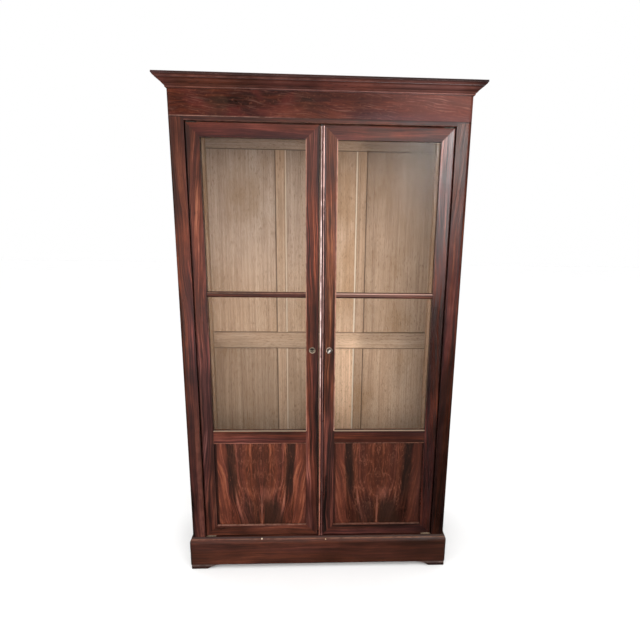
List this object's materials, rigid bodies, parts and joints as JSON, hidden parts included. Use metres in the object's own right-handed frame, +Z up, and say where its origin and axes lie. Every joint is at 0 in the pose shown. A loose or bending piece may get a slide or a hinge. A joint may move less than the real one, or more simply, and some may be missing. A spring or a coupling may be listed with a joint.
{
  "type": "display cabinet",
  "caption": "Tall dark veneered display cabinet with paired glazed doors over low panels, cove cornice, rounded posts, plinth and low bracket feet.",
  "frame": {"origin": "middle of the footprint box of the whole cabinet, on the floor under the feet", "axes": "+Z up, +X to the right of a viewer who faces the doors, -Y out of the front towards that viewer"},
  "size_m": [1.296, 0.5, 2.2],
  "materials": {
    "dark_veneer": "french polished, satin gloss",
    "pale_wood": "bare or thinly waxed",
    "clear_glass": "clear",
    "aged_brass": "aged",
    "plain_steel": "dull"
  },
  "bodies": {
    "carcase": {"feet": "dark_veneer", "plinth_front": "dark_veneer", "plinth_left": "dark_veneer", "plinth_right": "dark_veneer", "front_post_left": "dark_veneer", "front_post_right": "dark_veneer", "rear_post_left": "pale_wood", "rear_post_right": "pale_wood", "sill_rail": "dark_veneer", "head_rail": "dark_veneer", "bottom_board": "pale_wood", "side_rails": "dark_veneer", "side_panel_left": "dark_veneer", "side_panel_right": "dark_veneer", "top_board": "pale_wood", "back_rails": "pale_wood", "back_muntins": "pale_wood", "back_panels": "pale_wood", "frieze_front": "dark_veneer", "frieze_left": "dark_veneer", "frieze_right": "dark_veneer", "frieze_rear": "pale_wood", "cornice_front": "dark_veneer", "cornice_left": "dark_veneer", "cornice_right": "dark_veneer", "dust_board": "pale_wood", "pivot_plates": "aged_brass", "bolt_keepers": "aged_brass"},
    "left_door": {"left_hinge_stile": "dark_veneer", "left_meeting_stile": "dark_veneer", "left_top_rail": "dark_veneer", "left_bottom_rail": "dark_veneer", "left_lock_rail": "dark_veneer", "left_glazing_bar": "dark_veneer", "left_glass": "clear_glass", "left_lower_panel": "dark_veneer", "left_glazing_beads": "dark_veneer", "left_pivot_leaves": "aged_brass", "left_escutcheon": "aged_brass", "left_bolt_guides": "aged_brass", "lock_keeper": "aged_brass", "left_door_screws": "plain_steel"},
    "right_door": {"right_hinge_stile": "dark_veneer", "right_meeting_stile": "dark_veneer", "right_top_rail": "dark_veneer", "right_bottom_rail": "dark_veneer", "right_lock_rail": "dark_veneer", "right_glazing_bar": "dark_veneer", "right_glass": "clear_glass", "right_lower_panel": "dark_veneer", "right_glazing_beads": "dark_veneer", "right_pivot_leaves": "aged_brass", "right_escutcheon": "aged_brass", "lock_case": "plain_steel", "right_door_screws": "plain_steel", "astragal": "dark_veneer"},
    "left_top_bolt": {"left_top_bolt": "plain_steel"},
    "left_bottom_bolt": {"left_bottom_bolt": "plain_steel"},
    "lock_bolt": {"lock_bolt": "plain_steel"},
    "key": {"key": "plain_steel"}
  },
  "joints": [
    {"name": "right_door_hinge", "type": "hinge", "parent": "carcase", "child": "right_door", "pos_m": [0.531, -0.197, 1.1], "axis": [0, 0, 1], "range_deg": [0, 100]},
    {"name": "left_door_hinge", "type": "hinge", "parent": "carcase", "child": "left_door", "pos_m": [-0.531, -0.197, 1.1], "axis": [0, 0, -1], "range_deg": [0, 100]},
    {"name": "key_turn", "type": "hinge", "parent": "right_door", "child": "key", "pos_m": [0.0385, -0.2, 1.097], "axis": [0, -1, 0], "range_deg": [0, 180]},
    {"name": "lock_bolt_slide", "type": "slide", "parent": "right_door", "child": "lock_bolt", "axis": [-1, 0, 0], "range_m": [0, 0.012]},
    {"name": "left_top_bolt_slide", "type": "slide", "parent": "left_door", "child": "left_top_bolt", "axis": [0, 0, 1], "range_m": [0, 0.015]},
    {"name": "left_bottom_bolt_slide", "type": "slide", "parent": "left_door", "child": "left_bottom_bolt", "axis": [0, 0, -1], "range_m": [0, 0.015]}
  ],
  "couplings": [
    {"joint": "key_turn", "follows": "lock_bolt_slide", "rad_per_m": 261.79}
  ]
}
